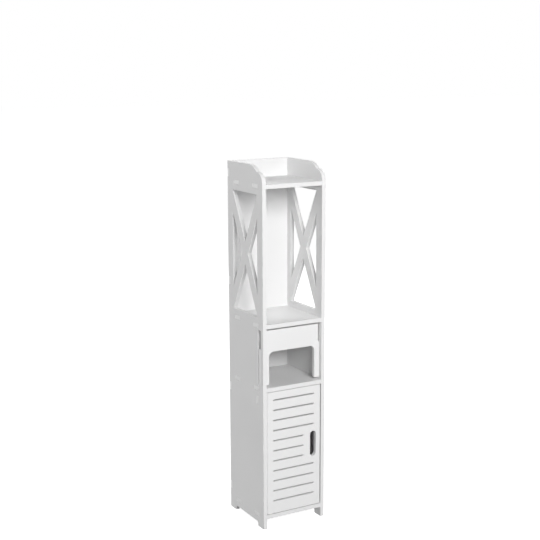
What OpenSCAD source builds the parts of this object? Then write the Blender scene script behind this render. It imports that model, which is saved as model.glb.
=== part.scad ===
// Slim free-standing cabinet for toilet rolls, cut from white foam board.
// The boards lock together with tabs in mortises, with no screws between them.
// The louvred door turns on two steel pins and closes on a magnetic catch.
// The roll cover slides out sideways through a slot in the side panel.
// Millimetres. The origin is the middle of the footprint, on the floor:
// +X is right, +Y is back and +Z is up, seen from the front.

/* [Cabinet] */
// Thickness of every board
board = 9; // [8:0.5:10]
// Outside width, over both side panels
cabinet_w = 155; // [150:1:200]
// Outside depth, from the front edges to the back face
cabinet_d = 155; // [150:1:190]
// Free height under the bottom shelf
under_shelf = 22.5; // [16:0.5:40]
// Clear height of the door bay
door_bay_h = 279.5; // [275:0.5:330]
// Clear height of the roll bay
roll_bay_h = 130.5; // [125:0.5:150]
// Clear height of the book bay
book_bay_h = 289.5; // [240:0.5:340]
// Height of the side and back panels above the top shelf
tray_h = 39; // [36:0.5:60]

/* [Side panels] */
// Radius of the round shoulder at the front of the top edge
shoulder_r = 25; // [18:0.5:30]
// Length of the sweep between the shoulder and the level top edge
crest_run = 33; // [24:0.5:45]
// Board left below the window, above the book shelf
window_sill = 13.5; // [8:0.5:25]
// Board left above the window, below the top shelf
window_head = 13; // [8:0.5:25]
// Board left in front of the window and behind it
window_stile = 23.5; // [20:0.5:32]
// Width of the two crossing bars in the window
bar_w = 22; // [14:0.5:32]
// Height of the arch between the feet
arch_h = 10; // [8:0.5:13]
// Radius of the arch's corners
arch_r = 6; // [3:0.5:7]
// Length of each foot along the floor
foot_run = 25.5; // [18:0.5:36]

/* [Tabs and mortises] */
// Length of each shelf tab, front to back
shelf_tab = 23; // [18:0.5:30]
// Distance between the centres of a shelf's two tabs
shelf_tab_pitch = 83.5; // [76:0.5:95]
// Height of each tab of the back panel
back_tab = 18; // [14:1:24]
// Centre of the lowest back tab above the bottom shelf
first_tab_rise = 22.5; // [16:0.5:40]
// Centre of the second back tab below the roll shelf
second_tab_drop = 21; // [16:0.5:40]
// Centre of the third back tab above the book shelf
third_tab_rise = 73; // [50:1:110]
// Centre of the top back tab below the top edge
top_tab_drop = 25.5; // [18:0.5:28]
// Play on each side of a tab in its mortise
tab_play = 0.2; // [0.1:0.05:0.5]
// How far the tab ends stay inside the outer face
tab_recess = 0.5; // [0.3:0.1:2.5]

/* [Roll cover and its slot] */
// Board left between the front edge and the slot
slot_land = 9.5; // [8:0.5:11]
// Width of the slot, front to back
slot_w = 12.5; // [11:0.5:14]
// Board left between the slot and the shelf mortise above or below it
slot_bridge = 4; // [2:0.1:6]
// Running play of the cover on its lower edge and its face
cover_play = 0.3; // [0.2:0.05:0.5]
// Free height above the cover in its slot
cover_headroom = 1.3; // [1:0.1:5]
// Height of the wide lower part, whose ends are the tongues
tongue_h = 80; // [70:0.5:100]
// How far the tongue ends stay inside the outer face
tongue_recess = 0.5; // [0.3:0.1:3]
// Gap between the narrower upper part and the side panel
cover_side_gap = 2.5; // [1:0.1:6]
// Width of the leg on each side of the roll outlet
cover_leg = 11.5; // [8:0.5:20]
// Height of the roll outlet above the roll shelf
outlet_h = 77; // [55:0.5:90]
// Radius of the outlet's upper corners
outlet_r = 11; // [4:0.5:20]

/* [Door] */
// Gap between the door and the roll shelf
door_gap_top = 1.2; // [1:0.1:2.5]
// Gap between the hinge edge and the left side panel
door_gap_hinge = 0.4; // [0.3:0.05:1]
// Gap between the free edge and the right side panel
door_gap_free = 2.8; // [1:0.1:3.5]
// Distance of the pin axis from the left side panel
pivot_inset = 10; // [8:0.5:12]
// Diameter of the pivot pins
pin_d = 4; // [3:0.1:4.4]
// Length of each pivot pin
pin_len = 20; // [16:0.5:24]
// Length of pin that stands in the shelf
pin_in_shelf = 5; // [4:0.1:6]
// Running clearance of the pin in the shelf, on the radius
pin_clearance = 0.08; // [0.03:0.01:0.1]
// Thickness of the washer that carries the door
washer_t = 1.7; // [1:0.1:4]
// Outer diameter of the washer
washer_d = 7.6; // [6:0.1:7.8]

/* [Louvres and handle] */
// Number of louvre slots
louvre_count = 11; // [8:1:11]
// Height of each slot
louvre_h = 3.5; // [2:0.1:5]
// Centre of the first slot below the door's top edge
louvre_drop = 18.3; // [16:0.1:22]
// Centre of the last slot above the door's bottom edge
louvre_rise = 28.7; // [24:0.1:34]
// Board left between the slots and the hinge edge
louvre_hinge_margin = 14.7; // [14:0.1:22]
// Board left between the slots and the free edge
louvre_free_margin = 15.2; // [15:0.1:22]
// Width of the handle cut-out
handle_w = 15; // [12:0.5:20]
// Length of the handle cut-out
handle_l = 58; // [40:1:70]
// Centre of the handle cut-out from the free edge
handle_inset = 17.8; // [16:0.1:26]
// Board left between the handle cut-out and the slots
handle_rim = 16.4; // [8:0.2:22]

/* [Stop rail and magnetic catch] */
// Gap between the back of the door and the stop rail
rail_gap = 10.75; // [10:0.25:14]
// Height of the stop rail between the side panels
rail_h = 26; // [22:1:34]
// Height of the rail's tabs
rail_tab = 18; // [14:1:20]
// Centre of the rail below the roll shelf
rail_drop = 20.5; // [19:0.5:30]
// Centre of the magnet from the right side panel
catch_inset = 10; // [9:0.5:10.5]
// Width of the magnet's housing
housing_w = 14; // [12.5:0.5:15]
// Height of the catch housing
housing_h = 16; // [13:0.5:20]
// Length of the ear that holds the screws
ear_l = 17; // [15:0.5:24]
// Thickness of the ear
ear_t = 3; // [2:0.25:4]
// Wall behind the magnet
housing_floor = 2; // [1.5:0.25:3]
// Width of the magnet
magnet_w = 6; // [4:0.5:7]
// Height of the magnet and its pole plates
magnet_h = 10; // [7:0.5:11]
// Thickness of each pole plate
pole_t = 1.2; // [0.8:0.1:1.5]
// How far the pole plates stand proud of the housing
pole_proud = 0.5; // [0.3:0.1:1]
// Gap between the pole plates and the strike plate
pole_gap = 0.2; // [0.1:0.05:0.5]
// Clearance of the magnet and pole plates in the housing
catch_fit = 0.1; // [0.05:0.05:0.2]
// Width of the strike plate
strike_w = 12; // [10:0.5:13]
// Height of the strike plate
strike_h = 20; // [14:0.5:26]
// Thickness of the strike plate
strike_t = 1.2; // [1.2:0.1:1.6]
// Diameter of the screw shanks
screw_d = 3; // [2.5:0.1:3.2]
// Diameter of the screw heads
head_d = 5.2; // [4.6:0.1:5.6]
// Height of the round screw heads
head_h = 1.8; // [1.2:0.1:2.4]
// Length of the catch screws below the head
catch_screw_l = 9; // [7:0.5:9.5]
// Distance between the catch screws
catch_screw_pitch = 8; // [7:0.25:9]
// Length of the strike screw
strike_screw_l = 7; // [5:0.5:7.5]

/* [Hidden] */

$fn = 96;
foam_white = [0.93, 0.93, 0.925];
nylon_white = [0.90, 0.90, 0.88];
zinc_grey = [0.70, 0.71, 0.73];
ferrite_grey = [0.23, 0.23, 0.24];

// A cut runs past the face that it opens by this much
past = 1;
// Bedding of a pin or screw in its drilled hole, on the radius
bed = 0.02;
// Free depth beyond the end of a pin or screw in its hole
hole_end = 0.5;
// Width of the bevels on the ends of the pivot pins
pin_bevel = 0.5;
// Arms of the cross recess in a screw head: length, width and depth
cross_l = 2.8;
cross_w = 0.7;
cross_depth = 0.9;

// Places in X
outer_x = cabinet_w / 2;
inner_x = outer_x - board;
tab_x = outer_x - tab_recess;

// Places in Y
front_y = -cabinet_d / 2;
back_y = cabinet_d / 2;
back_inner_y = back_y - board;
shelf_mid_y = (front_y + back_inner_y) / 2;
slot_y = front_y + slot_land;
cover_y = slot_y + cover_play;
door_back_y = front_y + board;
rail_y = door_back_y + rail_gap;

// Places in Z, going up
bottom_shelf_z = under_shelf;
door_floor_z = bottom_shelf_z + board;
roll_shelf_z = door_floor_z + door_bay_h;
roll_floor_z = roll_shelf_z + board;
book_shelf_z = roll_floor_z + roll_bay_h;
book_floor_z = book_shelf_z + board;
top_shelf_z = book_floor_z + book_bay_h;
tray_floor_z = top_shelf_z + board;
top_z = tray_floor_z + tray_h;
shelf_heights = [bottom_shelf_z, roll_shelf_z, book_shelf_z, top_shelf_z];
back_tab_heights = [
    door_floor_z + first_tab_rise,
    roll_shelf_z - second_tab_drop,
    book_floor_z + third_tab_rise,
    top_z - top_tab_drop
];

// Roll cover
slot_z = roll_floor_z + tab_play + slot_bridge;
slot_h = book_shelf_z - tab_play - slot_bridge - slot_z;
cover_z = slot_z + cover_play;
cover_h = slot_h - cover_play - cover_headroom;

// Door and its pins
pivot_x = -inner_x + pivot_inset;
pivot_y = front_y + board / 2;
hinge_edge_x = -inner_x + door_gap_hinge;
free_edge_x = inner_x - door_gap_free;
door_w = free_edge_x - hinge_edge_x;
washer_play = 0.1;
door_z = door_floor_z + washer_t + washer_play;
door_top_z = roll_shelf_z - door_gap_top;
door_h = door_top_z - door_z;
pin_r = pin_d / 2;
first_louvre_z = door_top_z - louvre_drop;
last_louvre_z = door_z + louvre_rise;
louvre_pitch = (first_louvre_z - last_louvre_z) / (louvre_count - 1);
handle_x = free_edge_x - handle_inset;
handle_z = (first_louvre_z + last_louvre_z) / 2;

// Catch
rail_mid_z = roll_shelf_z - rail_drop;
catch_x = inner_x - catch_inset;
strike_y = door_back_y + strike_t;
pole_y = strike_y + pole_gap;
housing_y = pole_y + pole_proud;
pole_depth = rail_y - housing_floor - pole_y;
ear_x = catch_x - housing_w / 2 - ear_l;
screw_hole_r = screw_d / 2 + bed;
catch_screw_x = ear_x + (ear_l - catch_screw_pitch) / 2;

// Boards: a flat outline given the board's thickness, along X, Y or Z
module side_board(x) {
    translate([x, 0, 0]) rotate([90, 0, 90]) linear_extrude(board) children();
}

module upright_board(y) {
    translate([0, y + board, 0]) rotate([90, 0, 0]) linear_extrude(board) children();
}

module level_board(z) {
    translate([0, 0, z]) linear_extrude(board) children();
}

// A slot with round ends between two points on one level, w high
module round_slot(x0, x1, w) {
    translate([x0 + w / 2, -w / 2]) square([x1 - x0 - w, w]);
    for (x = [x0 + w / 2, x1 - w / 2]) translate([x, 0]) circle(d = w);
}

// A rectangle on the origin's level whose two upper corners are round
module round_topped(w, h, r) {
    translate([-w / 2, 0]) square([w, h - r]);
    translate([-w / 2 + r, 0]) square([w - 2 * r, h]);
    for (s = [-1, 1]) translate([s * (w / 2 - r), h - r]) circle(r = r);
}

// Outline of a side panel in Y and Z: a straight board whose top edge rises
// from the front in a round shoulder, a notch and a long sweep
module side_outline() {
    shoulder_y = front_y + shoulder_r;
    crest_y = shoulder_y + crest_run;
    crest_drop = tray_h - shoulder_r;
    crest_r = (crest_run * crest_run + crest_drop * crest_drop) / (2 * crest_drop);
    translate([front_y, 0]) square([cabinet_d, tray_floor_z]);
    translate([shoulder_y, tray_floor_z]) circle(r = shoulder_r);
    translate([shoulder_y, 0]) square([back_y - shoulder_y, tray_floor_z + shoulder_r]);
    translate([crest_y, 0]) square([back_y - crest_y, top_z]);
    intersection() {
        translate([crest_y, top_z - crest_r]) circle(r = crest_r);
        translate([shoulder_y, tray_floor_z]) square([crest_run, tray_h]);
    }
}

// Arch between the feet, with round upper corners
module foot_arch() {
    translate([0, -past]) round_topped(cabinet_d - 2 * foot_run, arch_h + past, arch_r);
}

// Four triangles of the window: a rectangle less two crossing bars.
// The outer edge of each bar starts in a corner of the rectangle.
module window_openings() {
    half_w = cabinet_d / 2 - window_stile;
    half_h = (book_bay_h - window_sill - window_head) / 2;
    reach = norm([half_w, half_h]);
    bar_angle = acos(bar_w / 2 / reach) - atan2(half_w, half_h);
    translate([0, book_floor_z + window_sill + half_h]) difference() {
        square([2 * half_w, 2 * half_h], center = true);
        for (s = [-1, 1]) rotate(s * bar_angle) square([3 * reach, bar_w], center = true);
    }
}

module shelf_mortises() {
    for (z = shelf_heights, s = [-1, 1])
        translate([shelf_mid_y + s * shelf_tab_pitch / 2 - shelf_tab / 2 - tab_play, z - tab_play])
            square([shelf_tab + 2 * tab_play, board + 2 * tab_play]);
}

// Open notches in the rear edge for the tabs of the back panel
module back_notches() {
    for (z = back_tab_heights)
        translate([back_inner_y - tab_play, z - back_tab / 2 - tab_play])
            square([board + tab_play + past, back_tab + 2 * tab_play]);
}

module rail_mortise() {
    translate([rail_y - tab_play, rail_mid_z - rail_tab / 2 - tab_play])
        square([board + 2 * tab_play, rail_tab + 2 * tab_play]);
}

module side_panel(x) {
    color(foam_white) side_board(x) difference() {
        side_outline();
        foot_arch();
        window_openings();
        shelf_mortises();
        back_notches();
        rail_mortise();
        translate([slot_y, slot_z]) square([slot_w, slot_h]);
    }
}

module left_side_panel() {
    side_panel(-outer_x);
}

module right_side_panel() {
    side_panel(inner_x);
}

// Back panel: stands between the side panels on its own tabs, behind the shelves
module back_panel() {
    color(foam_white) upright_board(back_inner_y) {
        translate([-inner_x, bottom_shelf_z]) square([2 * inner_x, top_z - bottom_shelf_z]);
        for (z = back_tab_heights)
            translate([-tab_x, z - back_tab / 2]) square([2 * tab_x, back_tab]);
    }
}

// A shelf with two tabs at each end
module shelf(z) {
    level_board(z) {
        translate([-inner_x, front_y]) square([2 * inner_x, back_inner_y - front_y]);
        for (s = [-1, 1])
            translate([-tab_x, shelf_mid_y + s * shelf_tab_pitch / 2 - shelf_tab / 2])
                square([2 * tab_x, shelf_tab]);
    }
}

// Hole in a shelf that a pivot pin turns in, from level z upwards
module pivot_hole(z) {
    translate([pivot_x, pivot_y, z])
        cylinder(r = pin_r + pin_clearance, h = pin_in_shelf + hole_end + past);
}

module top_shelf() {
    color(foam_white) shelf(top_shelf_z);
}

module book_shelf() {
    color(foam_white) shelf(book_shelf_z);
}

// The door's upper pin turns in this shelf
module roll_shelf() {
    color(foam_white) difference() {
        shelf(roll_shelf_z);
        pivot_hole(roll_shelf_z - past);
    }
}

// The door's lower pin turns in this shelf
module bottom_shelf() {
    color(foam_white) difference() {
        shelf(bottom_shelf_z);
        pivot_hole(door_floor_z - pin_in_shelf - hole_end);
    }
}

// Rail behind the top of the door, which carries the catch
module door_stop_rail() {
    color(foam_white) difference() {
        upright_board(rail_y) {
            translate([-inner_x, rail_mid_z - rail_h / 2]) square([2 * inner_x, rail_h]);
            translate([-tab_x, rail_mid_z - rail_tab / 2]) square([2 * tab_x, rail_tab]);
        }
        catch_screw_places(rail_y - past) cylinder(r = screw_hole_r, h = past + screw_in_rail() + hole_end);
    }
}

// Roll cover: a plate with an outlet open at its foot. Its wide lower part
// stands in the slots of both side panels.
module roll_cover() {
    color(foam_white) upright_board(cover_y) translate([0, cover_z]) difference() {
        union() {
            translate([-outer_x + tongue_recess, 0])
                square([2 * (outer_x - tongue_recess), tongue_h]);
            translate([-inner_x + cover_side_gap, 0])
                square([2 * (inner_x - cover_side_gap), cover_h]);
        }
        translate([0, -past])
            round_topped(2 * (inner_x - cover_leg), roll_floor_z + outlet_h - cover_z + past, outlet_r);
    }
}

// Slots of the door in X and Z. Beside the handle they stop short of its rim.
module louvres() {
    for (i = [0 : louvre_count - 1]) {
        z = first_louvre_z - i * louvre_pitch;
        beside_handle = abs(z - handle_z) < handle_l / 2 + handle_rim;
        end_x = beside_handle
            ? handle_x - handle_w / 2 - handle_rim
            : free_edge_x - louvre_free_margin;
        translate([0, z]) round_slot(hinge_edge_x + louvre_hinge_margin, end_x, louvre_h);
    }
}

// What is cut off the front of the hinge edge, so that it turns past the side panel
module hinge_edge_relief() {
    translate([0, 0, door_z - past]) linear_extrude(door_h + 2 * past) difference() {
        translate([hinge_edge_x - past, front_y - past])
            square([pivot_x - hinge_edge_x + past, pivot_y - front_y + past]);
        translate([pivot_x, pivot_y]) circle(r = pivot_inset - door_gap_hinge);
    }
}

module door_panel() {
    color(foam_white) difference() {
        upright_board(front_y) difference() {
            translate([hinge_edge_x, door_z]) square([door_w, door_h]);
            louvres();
            translate([handle_x, handle_z]) rotate(90) round_slot(-handle_l / 2, handle_l / 2, handle_w);
        }
        hinge_edge_relief();
        translate([pivot_x, pivot_y, upper_pin_z() - hole_end])
            cylinder(r = pin_r + bed, h = pin_len);
        translate([pivot_x, pivot_y, door_z - past])
            cylinder(r = pin_r + bed, h = past + lower_pin_z() + pin_len - door_z + hole_end);
        strike_screw_place(strike_y) cylinder(r = screw_hole_r, h = strike_screw_l + hole_end);
    }
}

// A pivot pin with bevelled ends, from level z upwards
module pivot_pin(z) {
    color(zinc_grey) translate([pivot_x, pivot_y, z]) {
        cylinder(r1 = pin_r - pin_bevel, r2 = pin_r, h = pin_bevel);
        translate([0, 0, pin_bevel]) cylinder(r = pin_r, h = pin_len - 2 * pin_bevel);
        translate([0, 0, pin_len - pin_bevel]) cylinder(r1 = pin_r, r2 = pin_r - pin_bevel, h = pin_bevel);
    }
}

function upper_pin_z() = roll_shelf_z + pin_in_shelf - pin_len;
function lower_pin_z() = door_floor_z - pin_in_shelf;

module upper_pivot_pin() {
    pivot_pin(upper_pin_z());
}

module lower_pivot_pin() {
    pivot_pin(lower_pin_z());
}

// Washer on the lower pin, which carries the door above the bottom shelf
module pivot_washer() {
    color(nylon_white) translate([pivot_x, pivot_y, door_floor_z]) difference() {
        cylinder(d = washer_d, h = washer_t);
        translate([0, 0, -past]) cylinder(r = pin_r + pin_clearance, h = washer_t + 2 * past);
    }
}

function screw_in_rail() = catch_screw_l - ear_t;

// Puts a shape on the axis of each catch screw, from depth y, pointing back
module catch_screw_places(y) {
    for (i = [0, 1])
        translate([catch_screw_x + i * catch_screw_pitch, y, rail_mid_z]) rotate([-90, 0, 0]) children();
}

// Puts a shape on the axis of the strike screw, from depth y, pointing forward
module strike_screw_place(y) {
    translate([catch_x, y, rail_mid_z]) rotate([90, 0, 0]) children();
}

// Cross recess of a screw head whose top lies at the origin, facing -Z
module cross_recess() {
    for (a = [0, 90]) rotate(a)
        translate([-cross_l / 2, -cross_w / 2, -past]) cube([cross_l, cross_w, cross_depth + past]);
}

// Moulded housing: a block with a pocket for the magnet, and an ear with two screw holes
module catch_housing() {
    pocket_w = magnet_w + 2 * pole_t + 4 * catch_fit;
    pocket_h = magnet_h + 2 * catch_fit;
    color(nylon_white) difference() {
        union() {
            translate([catch_x - housing_w / 2, housing_y, rail_mid_z - housing_h / 2])
                cube([housing_w, rail_y - housing_y, housing_h]);
            translate([0, rail_y, rail_mid_z]) rotate([90, 0, 0]) linear_extrude(ear_t)
                round_ear();
        }
        translate([catch_x - pocket_w / 2, housing_y - past, rail_mid_z - pocket_h / 2])
            cube([pocket_w, rail_y - housing_floor - housing_y + past, pocket_h]);
        catch_screw_places(rail_y - ear_t - past) cylinder(r = screw_hole_r, h = ear_t + 2 * past);
    }
}

// Outline of the ear in X and Z, round at its free end
module round_ear() {
    translate([ear_x + housing_h / 2, -housing_h / 2]) square([ear_l - housing_h / 2 + past, housing_h]);
    translate([ear_x + housing_h / 2, 0]) circle(d = housing_h);
}

module catch_magnet() {
    color(ferrite_grey) translate([catch_x - magnet_w / 2, pole_y + pole_proud, rail_mid_z - magnet_h / 2])
        cube([magnet_w, pole_depth - pole_proud, magnet_h]);
}

// Steel plates on both sides of the magnet, which carry its pull to the strike plate
module catch_pole_plates() {
    for (s = [-1, 1])
        color(zinc_grey)
            translate([
                catch_x + s * (magnet_w / 2 + catch_fit + pole_t / 2) - pole_t / 2,
                pole_y,
                rail_mid_z - magnet_h / 2
            ])
            cube([pole_t, pole_depth, magnet_h]);
}

module catch_screws() {
    color(zinc_grey) catch_screw_places(rail_y - ear_t) difference() {
        union() {
            translate([0, 0, -head_h]) cylinder(d = head_d, h = head_h);
            cylinder(d = screw_d, h = catch_screw_l);
        }
        translate([0, 0, -head_h]) cross_recess();
    }
}

// Steel plate on the back of the door, with a countersunk hole
module strike_plate() {
    color(zinc_grey) difference() {
        translate([catch_x - strike_w / 2, door_back_y, rail_mid_z - strike_h / 2])
            cube([strike_w, strike_t, strike_h]);
        strike_screw_place(strike_y) countersunk_screw_body(bed, past);
    }
}

// Flat-headed screw from its head's face forward, grown by a clearance all round
module countersunk_screw_body(clearance, beyond) {
    cone_h = (head_d - screw_d) / 2;
    translate([0, 0, -beyond]) cylinder(r = head_d / 2 + clearance, h = beyond);
    cylinder(r1 = head_d / 2 + clearance, r2 = screw_d / 2 + clearance, h = cone_h);
    cylinder(r = screw_d / 2 + clearance, h = strike_screw_l);
}

module strike_screw() {
    color(zinc_grey) strike_screw_place(strike_y) difference() {
        countersunk_screw_body(0, 0);
        cross_recess();
    }
}

left_side_panel();
right_side_panel();
back_panel();
top_shelf();
book_shelf();
roll_shelf();
bottom_shelf();
door_stop_rail();
roll_cover();
door_panel();
upper_pivot_pin();
lower_pivot_pin();
pivot_washer();
catch_housing();
catch_magnet();
catch_pole_plates();
catch_screws();
strike_plate();
strike_screw();
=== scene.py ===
import math

import bpy
from mathutils import Matrix, Vector

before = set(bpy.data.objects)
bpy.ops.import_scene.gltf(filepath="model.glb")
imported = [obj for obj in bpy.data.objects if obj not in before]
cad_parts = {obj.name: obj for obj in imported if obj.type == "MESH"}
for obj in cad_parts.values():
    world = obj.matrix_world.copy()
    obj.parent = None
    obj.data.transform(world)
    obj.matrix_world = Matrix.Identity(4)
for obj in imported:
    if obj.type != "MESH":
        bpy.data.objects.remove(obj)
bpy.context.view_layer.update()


# ---- Side panels -------------------------------------------------------------------------
# The two tall boards that carry everything: foamed PVC sheet, 9 mm thick, routed in one go
# with its crossed window, its arch between the feet and the mortises for the shelves' tabs.
# The sheet's skin is smooth and satin, and the routed edges show the foam inside it.
MM = 0.001
BOARD_WHITE = "E5E5E5"
# TAB_END_HIGHLIGHT_WHITE is a painted highlight on faces that look along X, the tabs' ends
# among them, for the light caught on the walls of their recessed mortises.
TAB_END_HIGHLIGHT_WHITE = "FCFCFC"
ARRIS_ROUND = 0.3 * MM

# How squarely a face looks along an axis, from where it begins to count as facing that way
# to where it counts in full. A face of the rounded arris between two sides counts in part.
FACING_FROM = 0.55
FACING_FULLY = 0.85

# Rolled skin: an orange peel, and a slow change of sheen, whose noise lies mostly between
# NOISE_LOW and NOISE_HIGH.
PEEL_SIZE = 2.5 * MM
PEEL_HEIGHT_MM = 0.02
SHEEN_SIZE = 60 * MM
SMOOTHEST_SKIN = 0.38
ROUGHEST_SKIN = 0.48
NOISE_LOW = 0.3
NOISE_HIGH = 0.7

# Routed edge: the foam's cells are about 0.1 mm across and are drawn at 0.5 mm so that they
# show. The cutter's streaks run from skin to skin and are longer than the board is thick.
CELL_SIZE = 0.5 * MM
CELL_MIDDLE = 0.1
CELL_RIM = 0.45
PIT_HEIGHT_MM = 0.025
# PIT_PAINTED_SHADE scales the colour in the pits: painted shade for the tiny shadows of the
# foam's cells.
PIT_PAINTED_SHADE = 0.94
STREAK_PITCH = 1.2 * MM
STREAK_LENGTH = 15 * MM
STREAK_HEIGHT_MM = 0.05
EDGE_ROUGHNESS = 0.68

# The inputs of a Mix node share their names, so these are the numbers of its factor, of the
# two values and two colours that it mixes, and of its mixed value and colour.
FACTOR, VALUE_A, VALUE_B, COLOUR_A, COLOUR_B = 0, 2, 3, 6, 7
MIXED_VALUE, MIXED_COLOUR = 0, 2


def linear(hex_colour):
    """The linear colour, with an alpha of 1, of an sRGB hex value."""
    channels = [int(hex_colour[i:i + 2], 16) / 255 for i in (0, 2, 4)]
    return tuple(c / 12.92 if c <= 0.04045 else ((c + 0.055) / 1.055) ** 2.4
                 for c in channels) + (1.0,)


def add_node(tree, kind, inputs=(), **settings):
    """Adds a shader node. Its inputs, by name or number, take a value or another's output."""
    node = tree.nodes.new("ShaderNode" + kind)
    for name, value in settings.items():
        setattr(node, name, value)
    for name, value in dict(inputs).items():
        if isinstance(value, bpy.types.NodeSocket):
            tree.links.new(value, node.inputs[name])
        else:
            node.inputs[name].default_value = value
    return node


def new_material(name, **sockets):
    """A material with a Principled shader, and what is uniform set on its own sockets."""
    material = bpy.data.materials.new(name)
    material.use_nodes = True
    tree = material.node_tree
    shader = tree.nodes["Principled BSDF"]
    for socket, value in sockets.items():
        shader.inputs[socket.replace("_", " ")].default_value = value
    return material, tree, shader


def facing_along(tree, part_of_normal):
    """1 on a face that looks along an axis, whose part of its normal is given, or else 0."""
    squareness = add_node(tree, "Math", {0: part_of_normal}, operation="ABSOLUTE")
    mask = add_node(tree, "MapRange", {"Value": squareness.outputs[0],
                                       "From Min": FACING_FROM, "From Max": FACING_FULLY})
    return mask.outputs["Result"]


def foam_board(name, skin_axis):
    """Foamed PVC sheet whose two skins face along skin_axis, 0 for X, 1 for Y or 2 for Z.

    The eye gets a clean satin white with a soft orange peel on the skins, a drier white
    with fine pores, darkened by painted shade, and cutter streaks on the edges, and a purer
    white on the tabs' ends, which face along X: a painted highlight for the light caught on
    the walls of their recessed mortises.
    """
    material, tree, shader = new_material(name, IOR=1.53)
    place = add_node(tree, "TexCoord")
    facing = add_node(tree, "SeparateXYZ", {"Vector": place.outputs["Normal"]})
    skin = facing_along(tree, facing.outputs[skin_axis])
    # Faces along X take the painted highlight of the tabs' ends.
    tab_end_highlight = facing_along(tree, facing.outputs["X"])

    # Patterns of the skin and of the edge.
    peel = add_node(tree, "TexNoise", {"Vector": place.outputs["Object"],
                                       "Scale": 1 / PEEL_SIZE, "Detail": 1.0})
    sheen = add_node(tree, "TexNoise", {"Vector": place.outputs["Object"],
                                        "Scale": 1 / SHEEN_SIZE, "Detail": 3.0})
    cells = add_node(tree, "TexVoronoi", {"Vector": place.outputs["Object"],
                                          "Scale": 1 / CELL_SIZE})
    pits = add_node(tree, "MapRange", {"Value": cells.outputs["Distance"],
                                       "From Min": CELL_MIDDLE, "From Max": CELL_RIM})
    squeeze = [1.0, 1.0, 1.0]
    squeeze[skin_axis] = STREAK_PITCH / STREAK_LENGTH
    stretched = add_node(tree, "Mapping", {"Vector": place.outputs["Object"],
                                           "Scale": squeeze})
    streaks = add_node(tree, "TexNoise", {"Vector": stretched.outputs["Vector"],
                                          "Scale": 1 / STREAK_PITCH, "Detail": 2.0})

    # Height of the surface in millimetres, on the edge and then on the skin.
    pit_height = add_node(tree, "Math", {0: pits.outputs["Result"], 1: PIT_HEIGHT_MM},
                          operation="MULTIPLY")
    edge_height = add_node(tree, "Math", {0: streaks.outputs[0], 1: STREAK_HEIGHT_MM,
                                          2: pit_height.outputs[0]},
                           operation="MULTIPLY_ADD")
    skin_height = add_node(tree, "Math", {0: peel.outputs[0], 1: PEEL_HEIGHT_MM},
                           operation="MULTIPLY")
    height = add_node(tree, "Mix", {FACTOR: skin, VALUE_A: edge_height.outputs[0],
                                    VALUE_B: skin_height.outputs[0]}, data_type="FLOAT")
    relief = add_node(tree, "Bump", {"Height": height.outputs[MIXED_VALUE],
                                     "Distance": MM, "Strength": 1.0})

    # Colour: painted shade darkens the edge's pits below the rim around them, for the tiny
    # shadows that the foam's cells would cast.
    # The faces along X, the tabs' ends among them, take a purer white: a painted highlight
    # for the light in their recessed mortises.
    edge_with_highlight = add_node(tree, "Mix", {FACTOR: tab_end_highlight, COLOUR_A: linear(BOARD_WHITE),
                                 COLOUR_B: linear(TAB_END_HIGHLIGHT_WHITE)}, data_type="RGBA")
    pit_painted_shade = add_node(tree, "MapRange", {"Value": pits.outputs["Result"],
                                            "To Min": PIT_PAINTED_SHADE, "To Max": 1.0})
    edge = add_node(tree, "VectorMath", {0: edge_with_highlight.outputs[MIXED_COLOUR],
                                         "Scale": pit_painted_shade.outputs["Result"]},
                    operation="SCALE")
    colour = add_node(tree, "Mix", {FACTOR: skin, COLOUR_A: edge.outputs["Vector"],
                                    COLOUR_B: linear(BOARD_WHITE)}, data_type="RGBA")

    satin = add_node(tree, "MapRange", {"Value": sheen.outputs[0],
                                        "From Min": NOISE_LOW, "From Max": NOISE_HIGH,
                                        "To Min": SMOOTHEST_SKIN, "To Max": ROUGHEST_SKIN})
    roughness = add_node(tree, "Mix", {FACTOR: skin, VALUE_A: EDGE_ROUGHNESS,
                                       VALUE_B: satin.outputs["Result"]}, data_type="FLOAT")
    tree.links.new(colour.outputs[MIXED_COLOUR], shader.inputs["Base Color"])
    tree.links.new(roughness.outputs[MIXED_VALUE], shader.inputs["Roughness"])
    tree.links.new(relief.outputs["Normal"], shader.inputs["Normal"])
    return material


def smooth_shading():
    """A modifier's node group that only turns the faces to smooth shading."""
    group = bpy.data.node_groups.new("smooth_shading", "GeometryNodeTree")
    group.interface.new_socket("Geometry", in_out="INPUT", socket_type="NodeSocketGeometry")
    group.interface.new_socket("Geometry", in_out="OUTPUT", socket_type="NodeSocketGeometry")
    start = group.nodes.new("NodeGroupInput")
    smooth = group.nodes.new("GeometryNodeSetShadeSmooth")
    end = group.nodes.new("NodeGroupOutput")
    group.links.new(start.outputs[0], smooth.inputs[0])
    group.links.new(smooth.outputs[0], end.inputs[0])
    return group


# Corners nearer than SAME_POINT are one, facets that turn less than FLAT_WITHIN make one flat
# face, edges that turn more than SHARP_FROM are rounded, and large faces keep their shading.
SAME_POINT = 0.002 * MM
FLAT_WITHIN = math.radians(0.5)
SHARP_FROM = math.radians(30)
ROUND_STEPS = 2
LARGE_FACES_RULE = 100
SMOOTH_SHADING = smooth_shading()


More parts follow.
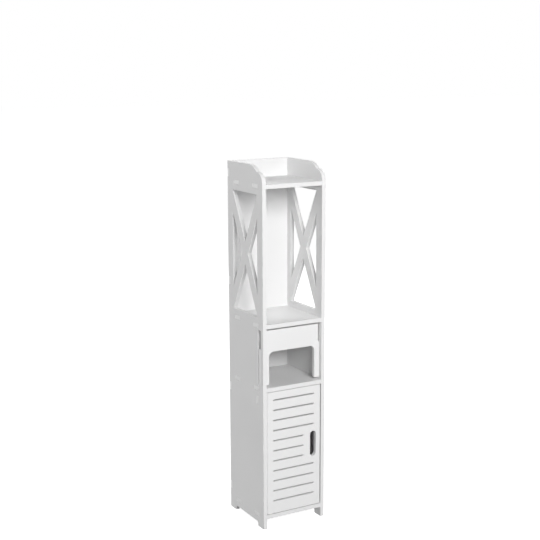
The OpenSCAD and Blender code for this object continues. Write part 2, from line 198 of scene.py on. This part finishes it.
def finish_node(name, material, arris):
    """Dresses a CAD node and rounds its sharp edges, or arrises, without moving a face."""
    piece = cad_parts[name]
    piece.data.materials.clear()
    piece.data.materials.append(material)
    weld = piece.modifiers.new("one_skin", "WELD")
    weld.merge_threshold = SAME_POINT
    flat = piece.modifiers.new("flat_faces", "DECIMATE")
    flat.decimate_type = "DISSOLVE"
    flat.angle_limit = FLAT_WITHIN
    bevel = piece.modifiers.new("arrises", "BEVEL")
    bevel.width = arris
    bevel.segments = ROUND_STEPS
    bevel.limit_method = "ANGLE"
    bevel.angle_limit = SHARP_FROM
    shade = piece.modifiers.new("shading", "NODES")
    shade.node_group = SMOOTH_SHADING
    normals = piece.modifiers.new("flat_shading_of_faces", "WEIGHTED_NORMAL")
    normals.keep_sharp = False
    normals.weight = LARGE_FACES_RULE


board_facing_x = foam_board("foamed_pvc_board_facing_x", 0)
for side in ("left", "right"):
    finish_node(side + "_side_panel", board_facing_x, ARRIS_ROUND)


# ---- Back panel --------------------------------------------------------------------------
# The full-height board between the side panels, of the same sheet. Four tabs on each long
# edge stand in open notches in the rear edges of the side panels.
board_facing_y = foam_board("foamed_pvc_board_facing_y", 1)
finish_node("back_panel", board_facing_y, ARRIS_ROUND)


# ---- Shelves -----------------------------------------------------------------------------
# Four boards laid flat, each held by two tabs at either end that stand in mortises through
# the side panels. The top one is the floor of the tray, and the next two close the roll bay.
board_facing_z = foam_board("foamed_pvc_board_facing_z", 2)
for shelf in ("top_shelf", "book_shelf", "roll_shelf", "bottom_shelf"):
    finish_node(shelf, board_facing_z, ARRIS_ROUND)


# ---- Door stop rail ----------------------------------------------------------------------
# A strip of the same sheet under the roll shelf, tabbed into the side panels behind the
# door. It stiffens the door bay and carries the magnetic catch.
finish_node("door_stop_rail", board_facing_y, ARRIS_ROUND)


# ---- Roll cover --------------------------------------------------------------------------
# The upright board that closes the front of the roll bay, with its outlet routed from the
# lower edge. Its two tongues slide in the slots of the side panels, so it draws out sideways.
finish_node("roll_cover", board_facing_y, ARRIS_ROUND)


# ---- Door --------------------------------------------------------------------------------
# One board with eleven louvre slots and a rounded handle cut-out, all routed through. It has
# no hinge leaf: a steel pin at each end of its hinge edge stands in the shelf beyond.
finish_node("door_panel", board_facing_y, ARRIS_ROUND)


# ---- Pivot pins and washer ---------------------------------------------------------------
# Two plain dowel pins of turned steel with a bright zinc coat, pressed into the door's ends,
# and a moulded nylon washer on the lower pin that carries the door's weight.
STEEL_ROUND = 0.12 * MM
NYLON_ROUND = 0.25 * MM
ZINC_THIN = "B9BCC0"
ZINC_THICK = "CFD0D2"
ZINC_BLOOM_SIZE = 3 * MM
ZINC_GRAIN_SIZE = 0.3 * MM
ZINC_RELIEF = 0.004 * MM
BRIGHTEST_ZINC = 0.24
DULLEST_ZINC = 0.42
NYLON_DARK = "E6E5DE"
NYLON_LIGHT = "F0EFE9"
NYLON_GRAIN_SIZE = 0.25 * MM
MOULDED_RELIEF = 0.01 * MM


def zinc_plated_steel(name):
    """Cold-rolled or turned steel under bright zinc: cool grey, with a faint bloom.

    The eye gets soft wide reflections that break up a little where the coat is thicker.
    """
    material, tree, shader = new_material(name, Metallic=1.0)
    place = add_node(tree, "TexCoord")
    bloom = add_node(tree, "TexNoise", {"Vector": place.outputs["Object"],
                                        "Scale": 1 / ZINC_BLOOM_SIZE, "Detail": 4.0})
    coat = add_node(tree, "Mix", {FACTOR: bloom.outputs[0], COLOUR_A: linear(ZINC_THIN),
                                  COLOUR_B: linear(ZINC_THICK)}, data_type="RGBA")
    rough = add_node(tree, "MapRange", {"Value": bloom.outputs[0],
                                        "To Min": BRIGHTEST_ZINC, "To Max": DULLEST_ZINC})
    grain = add_node(tree, "TexNoise", {"Vector": place.outputs["Object"],
                                        "Scale": 1 / ZINC_GRAIN_SIZE})
    relief = add_node(tree, "Bump", {"Height": grain.outputs[0], "Distance": ZINC_RELIEF})
    tree.links.new(coat.outputs[MIXED_COLOUR], shader.inputs["Base Color"])
    tree.links.new(rough.outputs["Result"], shader.inputs["Roughness"])
    tree.links.new(relief.outputs["Normal"], shader.inputs["Normal"])
    return material


def moulded_nylon(name):
    """Natural nylon from a sparked mould: a warm, dull white with a fine even texture.

    The eye gets a soft white that is a shade yellower than the boards.
    """
    material, tree, shader = new_material(name, Roughness=0.5, IOR=1.53,
                                          Subsurface_Weight=0.1, Subsurface_Scale=0.5 * MM)
    place = add_node(tree, "TexCoord")
    spark = add_node(tree, "TexNoise", {"Vector": place.outputs["Object"],
                                        "Scale": 1 / NYLON_GRAIN_SIZE, "Detail": 2.0})
    tint = add_node(tree, "Mix", {FACTOR: spark.outputs[0], COLOUR_A: linear(NYLON_DARK),
                                  COLOUR_B: linear(NYLON_LIGHT)}, data_type="RGBA")
    relief = add_node(tree, "Bump", {"Height": spark.outputs[0],
                                     "Distance": MOULDED_RELIEF})
    tree.links.new(tint.outputs[MIXED_COLOUR], shader.inputs["Base Color"])
    tree.links.new(relief.outputs["Normal"], shader.inputs["Normal"])
    return material


zinc = zinc_plated_steel("zinc_plated_steel")
nylon = moulded_nylon("moulded_nylon")
for pin in ("upper_pivot_pin", "lower_pivot_pin"):
    finish_node(pin, zinc, STEEL_ROUND)
finish_node("pivot_washer", nylon, NYLON_ROUND)


# ---- Magnetic catch ----------------------------------------------------------------------
# A nylon housing screwed to the stop rail, with a ferrite bar magnet between two steel pole
# plates that stand a little proud of it, towards the door.
FERRITE_DARK = "2E2E31"
FERRITE_LIGHT = "46464A"
FERRITE_GRIT_SIZE = 0.2 * MM
GROUND_RELIEF = 0.01 * MM


def sintered_ferrite(name):
    """Ferrite pressed and fired like a ceramic, then ground.

    The eye gets a nearly black, matt face with a fine speckle.
    """
    material, tree, shader = new_material(name, Roughness=0.55)
    place = add_node(tree, "TexCoord")
    grit = add_node(tree, "TexNoise", {"Vector": place.outputs["Object"],
                                       "Scale": 1 / FERRITE_GRIT_SIZE, "Detail": 3.0})
    fired = add_node(tree, "Mix", {FACTOR: grit.outputs[0], COLOUR_A: linear(FERRITE_DARK),
                                   COLOUR_B: linear(FERRITE_LIGHT)}, data_type="RGBA")
    relief = add_node(tree, "Bump", {"Height": grit.outputs[0], "Distance": GROUND_RELIEF})
    tree.links.new(fired.outputs[MIXED_COLOUR], shader.inputs["Base Color"])
    tree.links.new(relief.outputs["Normal"], shader.inputs["Normal"])
    return material


finish_node("catch_housing", nylon, NYLON_ROUND)
finish_node("catch_magnet", sintered_ferrite("sintered_ferrite"), STEEL_ROUND)
finish_node("catch_pole_plates", zinc, STEEL_ROUND)
finish_node("catch_screws", zinc, STEEL_ROUND)


# ---- Strike plate ------------------------------------------------------------------------
# A small plate of zinc-plated strip, held to the back of the door by one cross-head screw.
# The catch's pole plates pull on it through a gap of 0.2 mm when the door is shut.
finish_node("strike_plate", zinc, STEEL_ROUND)
finish_node("strike_screw", zinc, STEEL_ROUND)


# ---- Floor and studio --------------------------------------------------------------------
# A plain pale studio floor and a white surround. The camera, and what mirrors or shows
# through, sees both as white with the cabinet's soft shadow. The light on the cabinet comes
# from four soft lamps, the brightest in front, the floor's bounce and a dim surround.
FLOOR_SIZE = 40
FLOOR_GREY = "B4B4B4"
SURROUND_LIGHT = 0.18
WHITE = (1, 1, 1, 1)

# Seen directly, the floor is a matt paint that darkens in the shadow and a glow that lifts
# it to white elsewhere.
SEEN_PAINT = (0.7, 0.7, 0.7, 1)
SEEN_GLOW = 0.88

scene = bpy.context.scene


def seen_directly(tree):
    """1 for rays from the camera, a mirror or glass, and 0 for light that falls on things."""
    path = add_node(tree, "LightPath")
    mirror = add_node(tree, "Math", {0: path.outputs["Is Camera Ray"],
                                     1: path.outputs["Is Glossy Ray"]}, operation="MAXIMUM")
    return add_node(tree, "Math", {0: mirror.outputs[0],
                                   1: path.outputs["Is Transmission Ray"]},
                    operation="MAXIMUM").outputs[0]


world = bpy.data.worlds.new("white_surround")
scene.world = world
world.use_nodes = True
sky = world.node_tree
dim = sky.nodes["Background"]
dim.inputs["Color"].default_value = WHITE
dim.inputs["Strength"].default_value = SURROUND_LIGHT
bright = add_node(sky, "Background", {"Color": WHITE, "Strength": 1.0})
surround = add_node(sky, "MixShader", {0: seen_directly(sky), 1: dim.outputs[0],
                                       2: bright.outputs[0]})
sky.links.new(surround.outputs[0], sky.nodes["World Output"].inputs["Surface"])

bpy.ops.mesh.primitive_plane_add(size=FLOOR_SIZE, location=(0, 0, 0))
floor = bpy.context.object
floor.name = "studio_floor"
paint, paint_tree, paint_shader = new_material("matt_floor_paint", Roughness=0.9,
                                               Base_Color=linear(FLOOR_GREY))
shaded = add_node(paint_tree, "BsdfDiffuse", {"Color": SEEN_PAINT})
glow = add_node(paint_tree, "Emission", {"Color": WHITE, "Strength": SEEN_GLOW})
pale = add_node(paint_tree, "AddShader", {0: shaded.outputs[0], 1: glow.outputs[0]})
ground = add_node(paint_tree, "MixShader", {0: seen_directly(paint_tree),
                                            1: paint_shader.outputs[0],
                                            2: pale.outputs[0]})
paint_tree.links.new(ground.outputs[0],
                     paint_tree.nodes["Material Output"].inputs["Surface"])
floor.data.materials.append(paint)


def softbox(name, place, target, size, watts):
    """A square soft lamp at place, in metres, turned towards target."""
    data = bpy.data.lights.new(name, "AREA")
    data.shape = "SQUARE"
    data.size = size
    data.energy = watts
    lamp = bpy.data.objects.new(name, data)
    lamp.location = place
    lamp.rotation_euler = (Vector(target) - Vector(place)).to_track_quat("-Z", "Y").to_euler()
    scene.collection.objects.link(lamp)


softbox("front_softbox", place=(-0.4, -2.3, 1.55), target=(0, 0, 0.5), size=1.0, watts=55)
softbox("left_softbox", place=(-1.2, 0.2, 1.1), target=(0, 0, 0.8), size=0.6, watts=4.4)
softbox("rear_softbox", place=(0.4, 2.5, 1.6), target=(0, 0, 0.45), size=1.2, watts=38)
softbox("right_softbox", place=(1.5, 0.1, 1.1), target=(0, 0, 0.6), size=0.6, watts=8)


# ---- Camera ------------------------------------------------------------------------------
# A long lens at the left of the cabinet's front and a little above its top, as in the photo.
# It is turned 29.6 degrees to the right, tipped 10.9 down and rolled 0.2 clockwise.
CAMERA_PLACE = (-1.1845, -2.05964, 1.0167)
YAW = math.radians(29.572)
PITCH = math.radians(-10.890)
ROLL = math.radians(-0.199)
SENSOR_MM = 36
LENS_MM = 73.661

ahead = Vector((math.sin(YAW) * math.cos(PITCH), math.cos(YAW) * math.cos(PITCH),
                math.sin(PITCH)))
level = Vector((math.cos(YAW), -math.sin(YAW), 0))
upright = level.cross(ahead)
right = math.cos(ROLL) * level + math.sin(ROLL) * upright
up = math.cos(ROLL) * upright - math.sin(ROLL) * level
camera = bpy.data.objects.new("camera", bpy.data.cameras.new("camera"))
camera.data.sensor_width = SENSOR_MM
camera.data.lens = LENS_MM
camera.matrix_world = (Matrix.Translation(CAMERA_PLACE)
                       @ Matrix((right, up, -ahead)).transposed().to_4x4())
scene.collection.objects.link(camera)
scene.camera = camera
scene.view_settings.view_transform = "Standard"
